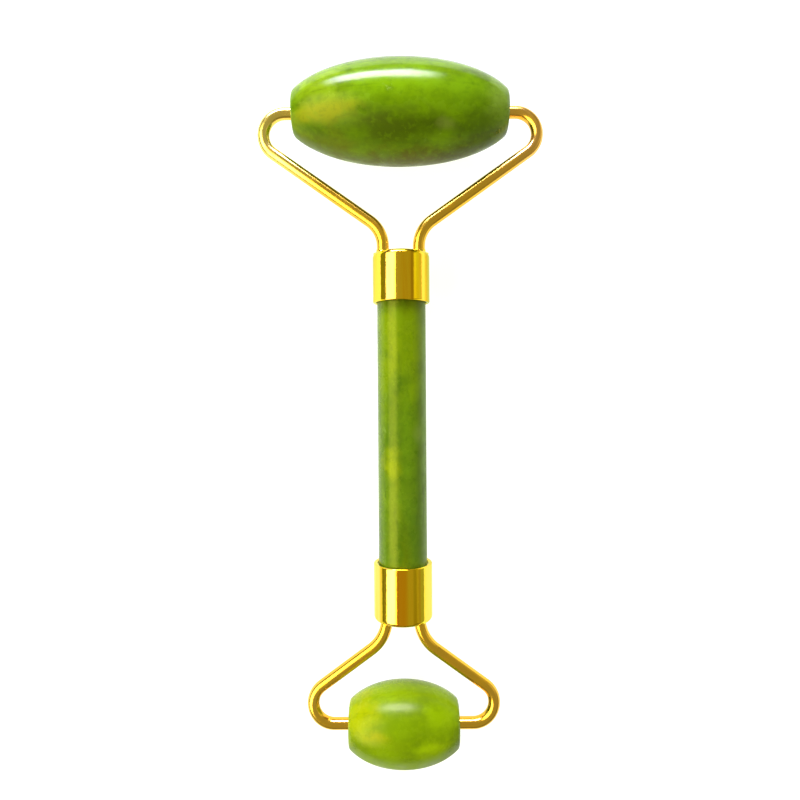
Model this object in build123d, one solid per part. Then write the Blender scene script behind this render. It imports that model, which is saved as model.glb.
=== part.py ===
from build123d import *
from dataclasses import dataclass
from math import asin, cos, degrees, radians, sin, tan
import os

# Double-ended jade face roller lying on a flat surface, in millimetres.
#
# Every piece is drawn in the tool frame: y runs along the handle towards the large roller, z is up
# and y = 0 is the middle of the exposed handle. The finished set is then laid down so that both
# rollers touch z = 0, with the origin at the bottom centre of its bounding box.

# Handle
HANDLE_R = 5.0
HANDLE_EXPOSED = 53.5          # length of stone showing between the two ferrules
HANDLE_END_CHAMFER = 0.4

# Bent wire arms
WIRE_R = 1.25
LEG_TAIL = 1.6                 # leg left inside the ferrule, past its floor
PIN_DEPTH = 5.6                # how far a pin reaches into the end of its roller
PIN_CHAMFER = 0.3

# Ferrules: drawn brass cups with the closed end towards the roller
BORE_R = 5.2
FERRULE_FLOOR = 0.8
BORE_CORNER_R = 0.3
LIP_R = 0.28                   # rounding of the open rim
LEG_CLEARANCE = 0.2            # gap between the leg tails and the end of the handle
ADHESIVE_RECESS = 0.5          # how far the glue line stops short of the open rim

# Solder fillets where the legs leave a ferrule
SOLDER_REACH = 0.75
SOLDER_RISE = 0.8
SOLDER_SKIN = 0.12            # thickness of the fillet where it ends on the leg

# Nylon bushings in the roller ends
BUSHING_R = 2.2
BUSHING_LENGTH = 6.6
BUSHING_RECESS = 0.2
BUSHING_LEAD_IN = 0.3
PIN_RUNNING_GAP = 0.05         # radial clearance between pin and bushing


@dataclass(frozen=True)
class Head:
    """One end of the tool: ferrule, two wire arms and a roller."""

    name: str
    direction: int             # +1 for the end towards +y, -1 for the other
    ferrule_r: float
    ferrule_length: float
    ferrule_corner_r: float    # rounding of the closed end
    reach: float               # from the ferrule's closed face to the roller's axis
    leg_x: float               # each leg stands this far from the handle's centre line
    bend_r: float              # centre line radius of the bend from leg to arm
    elbow_r: float             # centre line radius of the bend from arm to pin
    arm_slope: float           # degrees between the arm and the roller's axis
    half_width: float          # centre line of the elbow at its widest
    roller_r: float
    roller_length: float
    barrel_half_axis: float    # half axis of the barrel's elliptical outline, along the roller
    roller_edge_r: float       # rounding where the barrel meets its end face

    @property
    def face_y(self):
        """Distance of the ferrule's closed face from the middle of the handle."""
        return HANDLE_EXPOSED / 2 + self.ferrule_length

    @property
    def axis_y(self):
        """Where the roller's axis crosses the handle's centre line."""
        return self.direction * (self.face_y + self.reach)


LARGE = Head(
    name="large",
    direction=1,
    ferrule_r=5.85,
    ferrule_length=10.2,
    ferrule_corner_r=1.0,
    reach=28.8,
    leg_x=3.7,
    bend_r=6.4,
    elbow_r=4.45,
    arm_slope=35.2,
    half_width=28.1,
    roller_r=10.4,
    roller_length=43.9,
    barrel_half_axis=24.2,
    roller_edge_r=1.2,
)
SMALL = Head(
    name="small",
    direction=-1,
    ferrule_r=6.05,
    ferrule_length=11.8,
    ferrule_corner_r=0.9,
    reach=22.0,
    leg_x=3.4,
    bend_r=8.0,
    elbow_r=4.4,
    arm_slope=36.3,
    half_width=18.8,
    roller_r=8.5,
    roller_length=22.7,
    barrel_half_axis=13.5,
    roller_edge_r=1.2,
)
HEADS = (LARGE, SMALL)


def on_tool(head, shape):
    """Moves a shape from its head to the tool frame.

    On the head, y = 0 is the ferrule's closed face and +y points at the roller.
    """
    turn = 0 if head.direction > 0 else 180
    return Rot(0, 0, turn) * Pos(0, head.face_y, 0) * shape


def across(head, shape):
    """Turns a shape on the y axis so that its +y end points to +x, on the roller's axis."""
    return Pos(0, head.reach, 0) * Rot(0, 0, -90) * shape


def turned(profile):
    """Revolves a closed face drawn in x, y with x >= 0 about the y axis."""
    return revolve(profile, Axis.Y, 360)


def disc(radius, low, high):
    """A solid cylinder about the y axis, from y = low to y = high."""
    return turned(make_face(Polyline((0, low), (radius, low), (radius, high), (0, high), close=True)))


def circles(shape):
    return shape.edges().filter_by(GeomType.CIRCLE)


# ---------------------------------------------------------------- handle and ferrules

def rod_end(head):
    """Where the handle stops inside the ferrule, measured on the head."""
    return -(FERRULE_FLOOR + LEG_TAIL + LEG_CLEARANCE)


def handle_rod():
    large_end = LARGE.face_y + rod_end(LARGE)
    small_end = SMALL.face_y + rod_end(SMALL)
    rod = disc(HANDLE_R, -small_end, large_end)
    return chamfer(circles(rod), HANDLE_END_CHAMFER)


def leg_stub(head, side):
    """The straight stretch of a leg inside the ferrule and its floor."""
    return Pos(side * head.leg_x, 0, 0) * disc(WIRE_R, -FERRULE_FLOOR - LEG_TAIL, 0)


def ferrule_hollow(head, low):
    """The bore of a ferrule, from its floor down to y = low."""
    hollow = disc(BORE_R, low, -FERRULE_FLOOR)
    return fillet(circles(hollow).sort_by(Axis.Y)[-1], BORE_CORNER_R)


def ferrule_blank(head):
    """The outside of a ferrule, with no bore or holes."""
    blank = disc(head.ferrule_r, -head.ferrule_length, 0)
    return fillet(circles(blank).sort_by(Axis.Y)[-1], head.ferrule_corner_r)


def ferrule(head):
    cup = ferrule_blank(head) - ferrule_hollow(head, -head.ferrule_length)
    cup = fillet(circles(cup).group_by(Axis.Y)[0], LIP_R)
    for side in (-1, 1):
        cup -= leg_stub(head, side)
    return cup


def adhesive(head, rod):
    """The glue cast under the ferrule's floor and in the thin gap round the handle."""
    cast = ferrule_hollow(head, ADHESIVE_RECESS - head.ferrule_length)
    for side in (-1, 1):
        cast -= leg_stub(head, side)
    return on_tool(head, cast) - rod


# ---------------------------------------------------------------- wire arms and solder

def arm_path(head):
    """Centre line of the arm on the head's +x side: tail, leg, bend, arm, elbow and pin."""
    slope = radians(head.arm_slope)
    elbow_x = head.half_width - head.elbow_r
    elbow_y = head.reach - head.elbow_r
    arm_end_x = elbow_x + head.elbow_r * sin(slope)
    arm_end_y = elbow_y - head.elbow_r * cos(slope)
    leg_corner_y = arm_end_y - (arm_end_x - head.leg_x) * tan(slope)
    elbow_corner_x = arm_end_x + (head.reach - arm_end_y) / tan(slope)
    return FilletPolyline(
        (head.leg_x, -FERRULE_FLOOR - LEG_TAIL),
        (head.leg_x, leg_corner_y),
        (elbow_corner_x, head.reach),
        (head.roller_length / 2 - PIN_DEPTH, head.reach),
        radius=[head.bend_r, head.elbow_r],
    )


def arm(head):
    path = arm_path(head)
    section = Plane(path @ 0, z_dir=path % 0) * Circle(WIRE_R)
    wire = sweep(section, path)
    pin_tip = circles(wire).sort_by(lambda edge: (edge.center() - path @ 1).length)[0]
    return chamfer(pin_tip, PIN_CHAMFER)


def solder_bead(head, wire):
    """A fillet of solder round the leg on the +x side, lying on the ferrule's closed end."""
    foot = WIRE_R + SOLDER_REACH
    top = WIRE_R + SOLDER_SKIN
    waist = WIRE_R + 0.36 * SOLDER_REACH
    low = -head.ferrule_corner_r
    slope = ThreePointArc((foot, 0), (waist, 0.3 * SOLDER_RISE), (top, SOLDER_RISE))
    sides = Polyline((top, SOLDER_RISE), (0, SOLDER_RISE), (0, low), (foot, low), (foot, 0))
    bead = Pos(head.leg_x, 0, 0) * turned(make_face(slope + sides))
    bead = bead - ferrule_blank(head) - wire
    return bead.solids().sort_by(SortBy.VOLUME)[-1]


# ---------------------------------------------------------------- rollers and bushings

def roller_stone(head):
    """The barrel on the y axis: an elliptical outline cut off square, with rounded edges."""
    half = head.roller_length / 2
    outline = Ellipse(head.roller_r, head.barrel_half_axis)
    right_half = Pos(head.roller_r, 0, 0) * Rectangle(2 * head.roller_r, 2 * half)
    barrel = turned((outline & right_half).face())
    barrel = fillet(circles(barrel), head.roller_edge_r)
    seat_depth = BUSHING_RECESS + BUSHING_LENGTH
    for low in (-half, half - seat_depth):
        barrel -= disc(BUSHING_R, low, low + seat_depth)
    return barrel


def bushing(head):
    """The sleeve in the +y end of the barrel."""
    outer = head.roller_length / 2 - BUSHING_RECESS
    inner = outer - BUSHING_LENGTH
    bore = WIRE_R + PIN_RUNNING_GAP
    section = Polyline(
        (bore, inner),
        (BUSHING_R, inner),
        (BUSHING_R, outer),
        (bore + BUSHING_LEAD_IN, outer),
        (bore, outer - BUSHING_LEAD_IN),
        close=True,
    )
    return turned(make_face(section))


# ---------------------------------------------------------------- assembly

def head_nodes(head, rod):
    """Every piece of one head, by node name, in the tool frame."""
    nodes = {
        f"{head.name}_ferrule": on_tool(head, ferrule(head)),
        f"{head.name}_ferrule_adhesive": adhesive(head, rod),
        f"{head.name}_roller_stone": on_tool(head, across(head, roller_stone(head))),
    }
    wire = arm(head)
    drawn_on_right = {
        "arm": wire,
        "solder": solder_bead(head, wire),
        "roller_bushing": across(head, bushing(head)),
    }
    for kind, shape in drawn_on_right.items():
        placed = on_tool(head, shape)
        other = mirror(placed, Plane.YZ)
        right, left = (placed, other) if head.direction > 0 else (other, placed)
        nodes[f"{head.name}_{kind}_right"] = right
        nodes[f"{head.name}_{kind}_left"] = left
    return nodes


def resting_place():
    """Lays the tool down: both rollers touch z = 0, origin at the bottom centre of the box."""
    span = LARGE.axis_y - SMALL.axis_y
    pitch = asin((LARGE.roller_r - SMALL.roller_r) / span)
    front = LARGE.axis_y * cos(pitch) + LARGE.roller_r
    back = SMALL.axis_y * cos(pitch) - SMALL.roller_r
    lift = LARGE.roller_r - LARGE.axis_y * sin(pitch)
    return Pos(0, -(front + back) / 2, lift) * Rot(degrees(pitch), 0, 0)


def all_nodes():
    rod = handle_rod()
    nodes = {"handle_rod": rod}
    for head in HEADS:
        nodes.update(head_nodes(head, rod))
    place = resting_place()
    return {name: place * shape for name, shape in nodes.items()}


os.makedirs("parts", exist_ok=True)
for node, shape in all_nodes().items():
    export_step(shape, f"parts/{node}.step")
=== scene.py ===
import bpy
import math
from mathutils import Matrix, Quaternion, Vector


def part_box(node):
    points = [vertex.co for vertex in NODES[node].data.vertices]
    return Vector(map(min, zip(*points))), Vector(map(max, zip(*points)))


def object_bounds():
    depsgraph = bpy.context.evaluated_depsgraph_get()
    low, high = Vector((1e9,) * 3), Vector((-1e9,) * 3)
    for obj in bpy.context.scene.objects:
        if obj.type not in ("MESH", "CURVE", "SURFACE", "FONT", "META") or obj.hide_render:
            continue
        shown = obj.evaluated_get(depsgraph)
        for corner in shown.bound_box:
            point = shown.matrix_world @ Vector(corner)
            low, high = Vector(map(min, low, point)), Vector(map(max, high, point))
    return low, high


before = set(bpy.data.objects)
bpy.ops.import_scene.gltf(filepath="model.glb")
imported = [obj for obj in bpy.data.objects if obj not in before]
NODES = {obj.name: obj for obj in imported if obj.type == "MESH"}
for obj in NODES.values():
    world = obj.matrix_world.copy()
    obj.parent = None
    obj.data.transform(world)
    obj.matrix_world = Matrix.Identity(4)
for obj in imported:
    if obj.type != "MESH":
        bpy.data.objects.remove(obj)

# A jade face roller seen from straight above on a white table. Metres, in the CAD's frame:
# +Y runs along the tool towards the large roller, +X to its right, +Z up from the table.

CAD_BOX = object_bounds()
MM = 0.001

TABLE_SIZE = 6.0
LIGHT_DISTANCE = 0.8
CAMERA_UP = 130.0 * MM             # over the handle's axis
CAMERA_RIGHT = -0.4 * MM           # of the middle of the tool
CAMERA_AHEAD = 3.25 * MM           # of the middle of the tool
CAMERA_TWIST = -0.38               # degrees


# ---------------------------------------------------------------- node graphs

class Graph:
    """Short calls for building a node tree. All lengths inside it are millimetres."""

    def __init__(self, owner):
        owner.use_nodes = True
        self.tree = owner.node_tree
        self.tree.nodes.clear()

    def plug(self, socket, value):
        """Links a socket to an output, or sets it to a plain value."""
        if isinstance(value, bpy.types.NodeSocket):
            self.tree.links.new(value, socket)
        else:
            socket.default_value = value

    def node(self, kind, *values, **settings):
        """Adds a node, sets its properties, and plugs values into its inputs in order."""
        node = self.tree.nodes.new(kind)
        for key, value in settings.items():
            setattr(node, key, value)
        for socket, value in zip(node.inputs, values):
            self.plug(socket, value)
        return node

    def position(self, centre=(0, 0, 0), stretch=(1, 1, 1)):
        """The surface point in millimetres from centre (metres), with each axis scaled by stretch."""
        point = self.node("ShaderNodeTexCoord").outputs["Object"]
        moved = self.vector("SUBTRACT", point, tuple(centre))
        return self.vector("MULTIPLY", moved, tuple(s / MM for s in stretch))

    def noise(self, vector, scale, detail=4.0, roughness=0.5, distortion=0.0):
        node = self.node("ShaderNodeTexNoise")
        self.plug(node.inputs["Vector"], vector)
        self.plug(node.inputs["Scale"], scale)
        self.plug(node.inputs["Detail"], detail)
        self.plug(node.inputs["Roughness"], roughness)
        self.plug(node.inputs["Distortion"], distortion)
        return node.outputs["Fac"]

    def vector(self, operation, a, b):
        return self.node("ShaderNodeVectorMath", a, b, operation=operation).outputs[0]

    def length(self, vector):
        return self.node("ShaderNodeVectorMath", vector, operation="LENGTH").outputs["Value"]

    def split(self, vector):
        """The x, y and z of a vector."""
        return self.node("ShaderNodeSeparateXYZ", vector).outputs

    def math(self, operation, a, b):
        return self.node("ShaderNodeMath", a, b, operation=operation).outputs[0]

    def rescale(self, value, low, high, to_low=0.0, to_high=1.0, smooth=True):
        """Maps low..high to to_low..to_high, clamped."""
        node = self.node("ShaderNodeMapRange", value, low, high, to_low, to_high, clamp=True)
        node.interpolation_type = "SMOOTHSTEP" if smooth else "LINEAR"
        return node.outputs[0]

    def ramp(self, value, stops):
        """A colour ramp; stops are (place, (r, g, b))."""
        node = self.node("ShaderNodeValToRGB", value)
        elements = node.color_ramp.elements
        while len(elements) < len(stops):
            elements.new(0.5)
        for element, (place, colour) in zip(elements, stops):
            element.position = place
            element.color = (*colour, 1)
        return node.outputs["Color"]

    def blend(self, share, a, b, kind="MIX"):
        node = self.node("ShaderNodeMix", data_type="RGBA", blend_type=kind)
        self.plug(node.inputs["Factor"], share)
        self.plug(node.inputs["A"], colour4(a))
        self.plug(node.inputs["B"], colour4(b))
        return node.outputs["Result"]

    def bump(self, height, depth_mm, normal=None):
        """Bumps the surface by height (0 to 1) times depth_mm."""
        node = self.node("ShaderNodeBump")
        self.plug(node.inputs["Strength"], 1.0)
        self.plug(node.inputs["Distance"], depth_mm * MM)
        self.plug(node.inputs["Height"], height)
        if normal is not None:
            self.plug(node.inputs["Normal"], normal)
        return node.outputs["Normal"]


class Surface(Graph):
    """The node tree of a new material with one Principled shader."""

    def __init__(self, name):
        self.material = bpy.data.materials.new(name)
        super().__init__(self.material)
        self.shader = self.node("ShaderNodeBsdfPrincipled")
        self.node("ShaderNodeOutputMaterial", self.shader.outputs["BSDF"])

    def set(self, **values):
        """Plugs values into the shader's inputs, named with _ for spaces."""
        for key, value in values.items():
            self.plug(self.shader.inputs[key.replace("_", " ")], value)


def colour4(value):
    """A colour as four numbers, or an output as it is."""
    return (*value, 1) if isinstance(value, tuple) and len(value) == 3 else value


def srgb(text):
    """A colour written as six hex digits, in linear light."""
    channels = [int(text[i:i + 2], 16) / 255 for i in (0, 2, 4)]
    return tuple(c / 12.92 if c <= 0.04045 else ((c + 0.055) / 1.055) ** 2.4 for c in channels)


def centre_of(name):
    low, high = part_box(name)
    return (low + high) / 2


def half_of(name):
    low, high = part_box(name)
    return (high - low) / 2


def dress(material, name):
    """Gives a CAD node its material."""
    slots = NODES[name].data.materials
    slots.clear()
    slots.append(material)


# ---------------------------------------------------------------- jade

PALE_WISPS = "9fb85a"
DULLING = 0.30                     # roughness added where a stone is polished least
PIT_DEPTH = 0.003                  # millimetres
WAVE_DEPTH = 0.10                  # millimetres
# Layers are five times as long as they are thick
LAYER_STRETCH = {"x": (0.2, 1.0, 1.0), "y": (1.0, 0.2, 1.0)}
SEED_STEP = (31.0, 17.0, 7.0)      # millimetres between the noise of one stone and the next


def jade(node_name, grain, tones, veins, patches, polish, mirror, dull, seed):
    """Polished jade for one stone.

    grain: the axis that the layers follow.
    tones: three colours from deep to light.
    veins: the colour and strength of the dark veins.
    patches: soft zones of another colour. Each has its centre and half width, as shares of the
    stone's half size, a colour and a strength. Some are the stone's own tone, others painted light
    and shade.
    polish: the roughness of the best and worst polished places.
    mirror: the strength and tint of reflections.
    dull: centre and half width of the zone with the least polish, as shares like a patch's.
    seed: which part of the noise the stone is cut from.
    """
    graph = Surface(f"{node_name}_jade")
    centre = centre_of(node_name)
    half = half_of(node_name)
    point = graph.position(centre)
    offset = tuple(seed * step for step in SEED_STEP)
    own = graph.vector("ADD", point, offset)
    layered = graph.vector("MULTIPLY", own, LAYER_STRETCH[grain])

    cloud = graph.noise(own, scale=0.09, distortion=0.5)
    flow = graph.noise(layered, scale=0.17, detail=5, roughness=0.55, distortion=1.0)
    body = graph.math("ADD", graph.math("MULTIPLY", cloud, 0.4), graph.math("MULTIPLY", flow, 0.6))
    deep, middle, light = tones
    colour = graph.ramp(body, [(0.36, deep), (0.5, middle), (0.66, light)])

    edge = graph.noise(own, scale=0.24, roughness=0.6)
    ragged = graph.rescale(edge, 0.25, 0.75, -0.35, 0.35)

    def zone(middle_share, width_share, strength):
        """How strongly a soft ellipsoid zone of the stone covers each point."""
        place = tuple(c + m * h for c, m, h in zip(centre, middle_share, half))
        widths = [max(w * h, MM) for w, h in zip(width_share, half)]
        radius = graph.length(graph.position(place, [MM / width for width in widths]))
        return graph.rescale(graph.math("ADD", radius, ragged), 0.2, 1.3, strength, 0.0)

    for middle_share, width_share, patch_colour, strength in patches:
        colour = graph.blend(zone(middle_share, width_share, strength), colour, patch_colour)

    vein_colour, vein_strength = veins
    fibres = graph.noise(layered, scale=0.45, detail=6, roughness=0.62, distortion=0.9)
    colour = graph.blend(graph.rescale(fibres, 0.53, 0.72, 0.0, vein_strength), colour, vein_colour)

    wisps = graph.noise(own, scale=0.5, detail=8, roughness=0.7, distortion=1.6)
    wisp_zone = graph.rescale(graph.noise(own, scale=0.12, detail=2), 0.54, 0.68)
    wisp_share = graph.math("MULTIPLY", graph.rescale(wisps, 0.56, 0.72, 0.0, 0.35), wisp_zone)
    colour = graph.blend(wisp_share, colour, srgb(PALE_WISPS))

    mottle = graph.noise(own, scale=0.9, detail=6, roughness=0.65, distortion=0.4)
    colour = graph.blend(graph.rescale(mottle, 0.5, 0.68, 0.0, 0.35), colour, light)
    colour = graph.blend(graph.rescale(mottle, 0.5, 0.32, 0.0, 0.28), colour, deep)

    smears = graph.noise(own, scale=0.35, detail=5, roughness=0.6)
    best, worst = polish
    rough = graph.math("ADD", graph.rescale(smears, 0.3, 0.7, best, worst), zone(*dull, DULLING))
    waves = graph.noise(own, scale=0.16, detail=2, roughness=0.4)
    pits = graph.noise(own, scale=1.4, roughness=0.55)
    normal = graph.bump(pits, PIT_DEPTH, graph.bump(waves, WAVE_DEPTH))
    level, tint = mirror
    graph.set(Base_Color=colour, Roughness=rough, Normal=normal)
    graph.set(IOR=1.6, Specular_IOR_Level=level, Specular_Tint=colour4(tint))
    graph.set(Subsurface_Weight=0.25, Subsurface_Scale=0.002, Subsurface_Radius=(0.8, 1.0, 0.2))
    return graph.material


def dress_stones():
    """The three stones, each cut from a different block."""
    large = jade(
        "large_roller_stone",
        grain="x",
        tones=(srgb("425a01"), srgb("557301"), srgb("688a01")),
        veins=(srgb("334701"), 0.35),
        patches=[
            ((-0.10, 0.20, 0.95), (0.75, 0.40, 0.5), srgb("719803"), 0.8),
            ((0.55, 0.05, 0.85), (0.35, 0.45, 0.5), srgb("648a06"), 0.6),
            ((-0.70, -0.28, 0.70), (0.36, 0.20, 0.5), srgb("858a00"), 0.95),
            ((-0.70, 0.15, 0.70), (0.30, 0.30, 0.5), srgb("758f0a"), 0.8),
            # Painted light: lifts the upper left, where the left lamp's reflection ends in shade.
            ((-0.78, 0.42, 0.75), (0.30, 0.25, 0.5), srgb("80a010"), 0.6),
            # Painted shade: darkens the top edge, which faces the window.
            ((0.0, 0.95, 0.30), (1.00, 0.45, 0.6), srgb("436305"), 0.7),
            # Partly the stone's own olive and partly painted shade of the −Y side, turned from the
            # window.
            ((-0.60, -0.70, 0.20), (0.45, 0.30, 0.5), srgb("5d6800"), 0.75),
            # Partly own tone, partly painted shade of the −Y side.
            ((0.0, -0.60, 0.75), (0.50, 0.30, 0.4), srgb("3c4d01"), 0.85),
            # Partly own tone, partly painted shade of the −Y side.
            ((0.62, -0.50, 0.50), (0.25, 0.20, 0.4), srgb("425906"), 0.65),
            ((0.92, -0.05, 0.40), (0.15, 0.60, 0.8), srgb("78962a"), 0.75),
            # Partly own tone, partly painted shade of the −Y side, along the bottom rim.
            ((0.15, -0.98, 0.00), (0.90, 0.32, 0.5), srgb("525000"), 0.85),
            ((0.42, -0.55, 0.75), (0.12, 0.12, 0.3), srgb("77863a"), 0.5),
            # Partly own tone, partly painted shade of the −Y side.
            ((0.62, -0.85, 0.20), (0.35, 0.22, 0.5), srgb("3c4603"), 0.7),
        ],
        polish=(0.13, 0.18),
        mirror=(0.18, (1.0, 0.97, 0.36)),
        dull=((0.0, -0.75, 0.40), (2.0, 0.80, 1.0)),
        seed=1,
    )
    small = jade(
        "small_roller_stone",
        grain="x",
        tones=(srgb("587001"), srgb("657e01"), srgb("768f02")),
        veins=(srgb("4c6401"), 0.35),
        patches=[
            ((-0.80, 0.45, 0.60), (0.45, 0.7, 0.8), srgb("889000"), 0.9),
            ((-0.15, 0.40, 0.85), (0.35, 0.3, 0.6), srgb("627c01"), 0.5),
            # Partly the stone's own lighter tone and partly painted light that evens out shade on the
            # right.
            ((0.70, 0.30, 0.50), (0.40, 0.9, 0.8), srgb("7c9800"), 0.7),
            # Partly the stone's own lighter tone and partly painted light that evens out shade on the
            # lower right.
            ((0.50, -0.20, 0.90), (0.40, 0.3, 0.4), srgb("98b400"), 0.8),
            ((-0.45, 0.15, 0.85), (0.22, 0.18, 0.3), srgb("989000"), 0.45),
            ((-0.25, -0.05, 0.95), (0.40, 0.15, 0.3), srgb("5c6e00"), 0.5),
            # Partly the stone's own lighter tone and partly painted light that evens out shade on the
            # lower side.
            ((0.05, -0.50, 0.80), (0.90, 0.50, 0.5), srgb("789400"), 0.8),
        ],
        polish=(0.23, 0.30),
        mirror=(0.15, (1.0, 0.97, 0.38)),
        dull=((0.0, -0.80, 0.20), (1.9, 0.60, 0.9)),
        seed=2,
    )
    handle = jade(
        "handle_rod",
        grain="y",
        tones=(srgb("3a5705"), srgb("4c6808"), srgb("5b750c")),
        veins=(srgb("2f4a0c"), 0.4),
        patches=[
            ((0.0, 0.62, 0.7), (1.2, 0.40, 1.0), srgb("627800"), 0.85),
            # Painted shadow: a dark band across the handle beside the large ferrule.
            ((0.0, 0.82, 0.7), (1.4, 0.13, 1.0), srgb("3e4400"), 0.85),
            ((-0.42, 0.52, 0.8), (0.30, 0.20, 0.6), srgb("6c7c00"), 0.7),
            ((-0.38, -0.45, 0.85), (0.30, 0.55, 0.6), srgb("617208"), 0.6),
            ((-0.50, -0.15, 0.80), (0.45, 0.10, 0.6), srgb("7e8a00"), 0.7),
            ((0.15, -0.72, 0.85), (0.35, 0.25, 0.5), srgb("5a6600"), 0.5),
            ((0.60, -0.45, 0.7), (0.45, 0.8, 0.8), srgb("4c6d10"), 0.7),
            ((0.98, 0.0, 0.3), (0.25, 1.3, 0.8), srgb("7a9a48"), 0.8),
            ((0.62, 0.02, 0.75), (0.12, 0.05, 0.3), srgb("8f9c50"), 0.5),
            ((0.42, 0.05, 0.85), (0.42, 0.45, 0.6), srgb("587808"), 0.7),
            ((-0.70, 0.45, 0.60), (0.25, 0.50, 0.6), srgb("6a8100"), 0.6),
            ((0.50, 0.50, 0.80), (0.35, 0.40, 0.6), srgb("708a00"), 0.6),
        ],
        polish=(0.22, 0.32),
        mirror=(0.27, (1.0, 1.0, 0.2)),
        dull=((0.9, 0.0, 0.0), (0.5, 1.5, 1.2)),
        seed=3,
    )
    dress(large, "large_roller_stone")
    dress(small, "small_roller_stone")
    dress(handle, "handle_rod")


# ---------------------------------------------------------------- metal, nylon and glue

YELLOW_GOLD = (1.0, 0.63, 0.06)
WARM_GOLD = (0.94, 0.50, 0.025)
LINE_ROUGHNESS = 0.04              # roughness added by the polishing lines

# Painted reflection streaks along the ferrules: the place and half width across the tool, in
# millimetres, and a tint
FERRULE_PAINTED_REFLECTIONS = {
    "small_ferrule": [
        (-5.2, 1.1, (1.0, 0.99, 2.2)),
        (-4.3, 0.5, (0.68, 0.72, 0.3)),
        (-3.8, 0.4, (1.03, 1.2, 0.5)),
        (-2.4, 1.5, (1.0, 0.98, 2.0)),
        (-1.2, 0.4, (0.84, 0.72, 0.7)),
        (-0.4, 1.4, (1.0, 0.70, 0.3)),
        (1.6, 3.2, (0.98, 0.97, 0.3)),
        (2.5, 0.6, (0.76, 0.80, 0.5)),
        (3.9, 0.5, (1.12, 1.3, 1.1)),
        (5.0, 0.9, (1.0, 0.99, 1.6)),
    ],
    "large_ferrule": [
        (-5.8, 0.5, (0.86, 0.80, 0.7)),
        (-3.7, 0.5, (1.06, 1.2, 0.2)),
        (-2.2, 1.5, (1.0, 0.98, 1.8)),
        (1.4, 3.0, (0.99, 0.97, 0.3)),
        (2.2, 0.35, (0.75, 0.70, 0.5)),
        (3.1, 0.8, (1.12, 1.2, 0.5)),
        (5.3, 0.7, (0.68, 0.66, 0.2)),
    ],
}
STREAK_REACH = 30.0                # millimetres, well past both ends of a ferrule


def ferrule_painted_reflections():
    """Every painted reflection streak as a soft zone: its centre and half width in millimetres, and
    its tint.
    """
    painted_reflections = []
    for name, streaks in FERRULE_PAINTED_REFLECTIONS.items():
        x, y, z = centre_of(name) / MM
        for place, width, tint in streaks:
            painted_reflections.append(((x + place, y, z), (width, STREAK_REACH, STREAK_REACH), tint))
    return painted_reflections


def gold(name, stretch, across, rim, polish, dents, scratches, painted_reflections=()):
    """Gold plate with faint polishing lines, soft smudges, warm spots and painted reflection streaks.

    stretch: how fast the pattern changes along each axis. Polishing lines run along the slowest.
    across: the colour at the tool's left edge, in its middle and at its right edge; paler edges are
    partly painted reflection.
    rim: the tint of what the plating mirrors at a glancing angle.
    polish: the roughness of the best and worst polished places.
    dents, scratches: depths in millimetres.
    painted_reflections: painted reflection streaks, soft zones of another colour. Each has its centre
    and half width in millimetres, and a tint.
    """
    graph = Surface(name)
    point = graph.position()
    drawn = graph.position(stretch=stretch)
    haze = graph.noise(drawn, scale=0.9, roughness=0.6)
    lines = graph.noise(drawn, scale=3.0, roughness=0.6)

    left, middle, right = across
    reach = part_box("large_arm_right")[1].x / MM
    share = graph.rescale(graph.split(point)["X"], -reach, reach, smooth=False)
    # The colour across the tool, partly painted reflection where its edges are paler than its middle.
    tone_and_painted_reflection = graph.ramp(share, [(0.0, left), (0.22, middle), (0.78, middle), (1.0, right)])
    colour = graph.blend(graph.rescale(haze, 0.45, 0.75, 0.0, 0.7), tone_and_painted_reflection, WARM_GOLD)
    # Painted reflection streaks of the lamps and room, multiplied into the colour.
    for place, spread, tint in painted_reflections:
        radius = graph.length(graph.position(Vector(place) * MM, [1 / width for width in spread]))
        colour = graph.blend(graph.rescale(radius, 0.4, 1.2, 1.0, 0.0), colour, tint, "MULTIPLY")

    best, worst = polish
    smudge = graph.rescale(haze, 0.4, 0.75, best, worst)
    rough = graph.math("ADD", smudge, graph.rescale(lines, 0.45, 0.75, 0.0, LINE_ROUGHNESS))
    normal = graph.bump(graph.noise(point, scale=0.7, detail=3), dents)
    normal = graph.bump(lines, scratches, normal)
    graph.set(Base_Color=colour, Roughness=rough, Normal=normal)
    graph.set(Metallic=1.0, Specular_Tint=colour4(rim))
    return graph.material


def nylon():
    """White moulded plastic, with flow marks along the bushings."""
    graph = Surface("white_nylon")
    point = graph.position()
    mottle = graph.noise(point, scale=0.8, roughness=0.6)
    flow = graph.noise(graph.position(stretch=(0.3, 1, 1)), scale=3.0)
    colour = graph.ramp(mottle, [(0.35, srgb("cfcdc2")), (0.65, srgb("ebe9e0"))])
    graph.set(Base_Color=colour, Roughness=graph.rescale(mottle, 0.3, 0.7, 0.35, 0.5))
    graph.set(Normal=graph.bump(flow, 0.008), Subsurface_Weight=0.2, Subsurface_Scale=0.0006)
    return graph.material


def epoxy():
    """Amber glue, cloudy and slightly rippled."""
    graph = Surface("amber_epoxy")
    point = graph.position()
    cloud = graph.noise(point, scale=0.9, roughness=0.6)
    ripple = graph.noise(point, scale=1.6, detail=3)
    colour = graph.ramp(cloud, [(0.35, srgb("6b5a22")), (0.65, srgb("a08a3c"))])
    graph.set(Base_Color=colour, Roughness=graph.rescale(cloud, 0.3, 0.7, 0.15, 0.35))
    graph.set(Normal=graph.bump(ripple, 0.03), Coat_Weight=0.4)
    return graph.material


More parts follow.
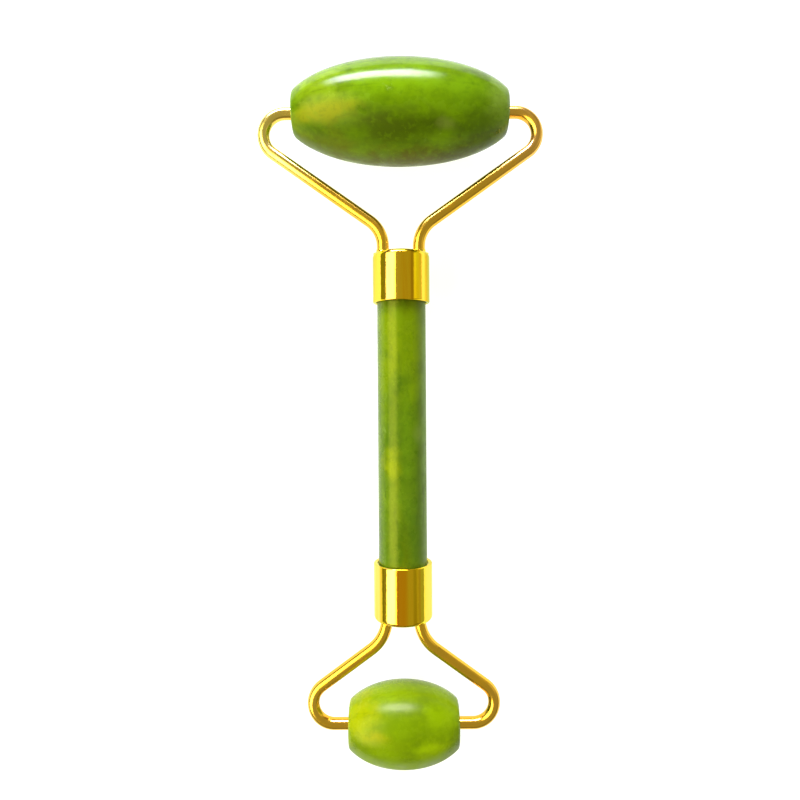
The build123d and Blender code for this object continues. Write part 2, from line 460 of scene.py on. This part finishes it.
def dress_metal():
    """One gold in three finishes: drawn sheet, polished wire and melted solder."""
    sheet = gold(
        "gold_plate_on_ferrule",
        stretch=(1, 0.06, 1),
        across=(YELLOW_GOLD, YELLOW_GOLD, YELLOW_GOLD),
        rim=(0.75, 1.0, 0.65),
        polish=(0.08, 0.14),
        dents=0.022,
        scratches=0.001,
        painted_reflections=ferrule_painted_reflections(),
    )
    wire = gold(
        "gold_plate_on_wire",
        stretch=(0.25, 0.25, 1),
        # Paler and bluer at the left and right edges than in the middle: partly the wire's own tone,
        # partly painted reflection.
        across=((0.92, 0.74, 0.20), (0.85, 0.49, 0.05), (0.85, 0.48, 0.12)),
        rim=(0.80, 1.0, 0.95),
        polish=(0.17, 0.26),
        dents=0.003,
        scratches=0.0002,
    )
    beads = gold(
        "gold_plate_on_solder",
        stretch=(1, 1, 1),
        across=(YELLOW_GOLD, YELLOW_GOLD, YELLOW_GOLD),
        rim=(0.75, 1.0, 0.65),
        polish=(0.12, 0.20),
        dents=0.05,
        scratches=0.001,
    )
    for name in NODES:
        if name in FERRULE_PAINTED_REFLECTIONS:
            dress(sheet, name)
        elif "_arm_" in name:
            dress(wire, name)
        elif "_solder_" in name:
            dress(beads, name)


def dress_hidden():
    """The pieces that hardly show."""
    plastic = nylon()
    glue = epoxy()
    for name in NODES:
        if "_bushing_" in name:
            dress(plastic, name)
        elif name.endswith("adhesive"):
            dress(glue, name)


# ---------------------------------------------------------------- stage

WARM_LIGHT = (1.0, 0.98, 0.6)
BLUISH_LIGHT = (1.0, 1.0, 2.0)     # white once the stones' yellow tint is on it


def white_table():
    """A plain white table top under the tool, which glows a little more further away."""
    bpy.ops.mesh.primitive_plane_add(size=TABLE_SIZE, location=(0, 0, CAD_BOX[0].z))
    table = bpy.context.object
    table.name = "table"
    graph = Surface("matt_white_table")
    place = graph.position()
    paper = graph.noise(place, scale=0.5, detail=5, roughness=0.6)
    base = graph.ramp(paper, [(0.3, (0.20, 0.20, 0.20)), (0.7, (0.22, 0.22, 0.22))])
    near, far = 300, 1200
    glow = graph.rescale(graph.length(place), near, far, 0.96, 1.05)
    graph.set(Base_Color=base, Emission_Color=(1.04, 1.08, 0.97, 1), Emission_Strength=glow)
    graph.set(Roughness=0.9, Specular_IOR_Level=0.2)
    table.data.materials.append(graph.material)


def softbox(name, azimuth, elevation, roll, width, height, radiance, colour, edges):
    """A rectangular light that faces the tool and fades towards its edges.

    azimuth, elevation: where it stands, in degrees. Azimuth 0 is +Y and 90 is +X.
    roll: how far it is turned in its own plane, in degrees.
    width, height: the angles that it covers, seen from the tool, in degrees.
    edges: the shares of its half width and half height over which the light fades.
    """
    a = math.radians(azimuth)
    e = math.radians(elevation)
    towards = Vector((math.sin(a) * math.cos(e), math.cos(a) * math.cos(e), math.sin(e)))
    light = bpy.data.lights.new(name, "AREA")
    light.shape = "RECTANGLE"
    light.size = 2 * LIGHT_DISTANCE * math.tan(math.radians(width / 2))
    light.size_y = 2 * LIGHT_DISTANCE * math.tan(math.radians(height / 2))
    light.energy = radiance * math.pi * light.size * light.size_y
    graph = Graph(light)
    place = graph.node("ShaderNodeNewGeometry").outputs["Parametric"]
    across, along, _ = graph.split(place)
    fades = []
    for share, edge in zip((across, along), edges):
        from_edge = graph.math("PINGPONG", share, 0.5)
        fades.append(graph.rescale(from_edge, 0.0, edge / 2))
    strength = graph.math("MULTIPLY", *fades)
    emission = graph.node("ShaderNodeEmission", colour4(colour), strength).outputs[0]
    graph.node("ShaderNodeOutputLight", emission)
    lamp = bpy.data.objects.new(name, light)
    lamp.location = towards * LIGHT_DISTANCE
    facing = towards.to_track_quat("Z", "Y")
    lamp.rotation_euler = (facing @ Quaternion((0, 0, 1), math.radians(roll))).to_euler()
    lamp.visible_camera = False
    bpy.context.scene.collection.objects.link(lamp)


def room_light():
    """A dim ceiling over darker low walls, and a lighter wall on the right.

    The camera sees plain white instead, as in the photo.
    """
    world = bpy.data.worlds.new("room")
    bpy.context.scene.world = world
    graph = Graph(world)
    x, y, z = graph.split(graph.node("ShaderNodeTexCoord").outputs["Generated"])
    ceiling_and_walls = graph.rescale(z, 0.40, 0.50, 0.23, 0.40)
    window_side = graph.rescale(y, -0.15, 0.15, 0.14, 0.45)
    right_wall = graph.math("MULTIPLY", graph.rescale(x, 0.74, 0.80), window_side)
    level = graph.math("ADD", ceiling_and_walls, right_wall)
    room = graph.node("ShaderNodeBackground", colour4(WARM_LIGHT), level).outputs[0]
    seen = graph.node("ShaderNodeBackground", (1, 1, 1, 1), 1.0).outputs[0]
    from_camera = graph.node("ShaderNodeLightPath").outputs["Is Camera Ray"]
    both = graph.node("ShaderNodeMixShader", from_camera, room, seen).outputs[0]
    graph.node("ShaderNodeOutputWorld", both)


def studio_light():
    """A window-like box beyond the large roller and a broad box on the left."""
    softbox(
        "window_box",
        azimuth=-9,
        elevation=25,
        roll=-8,
        width=50,
        height=20,
        radiance=31.0,
        colour=BLUISH_LIGHT,
        edges=(0.6, 0.45),
    )
    softbox(
        "left_box",
        azimuth=-96,
        elevation=45.4,
        roll=-12,
        width=76,
        height=42,
        radiance=5.3,
        colour=WARM_LIGHT,
        edges=(0.3, 0.15),
    )
    room_light()


def overhead_camera():
    """Straight above the tool, close to it, with a moderately wide lens."""
    handle = centre_of("handle_rod")
    middle = (CAD_BOX[0] + CAD_BOX[1]) / 2
    data = bpy.data.cameras.new("camera")
    data.lens = 28.25
    data.sensor_width = 36.0
    data.clip_start = 0.01
    camera = bpy.data.objects.new("camera", data)
    camera.location = (middle.x + CAMERA_RIGHT, middle.y + CAMERA_AHEAD, handle.z + CAMERA_UP)
    camera.rotation_euler = (0, 0, math.radians(CAMERA_TWIST))
    bpy.context.scene.collection.objects.link(camera)
    bpy.context.scene.camera = camera


def plain_colours():
    """Shows radiance as it is, so that the white table and the saturated gold keep their colour."""
    bpy.context.scene.view_settings.view_transform = "Standard"
    bpy.context.scene.view_settings.look = "None"


dress_stones()
dress_metal()
dress_hidden()
white_table()
studio_light()
overhead_camera()
plain_colours()
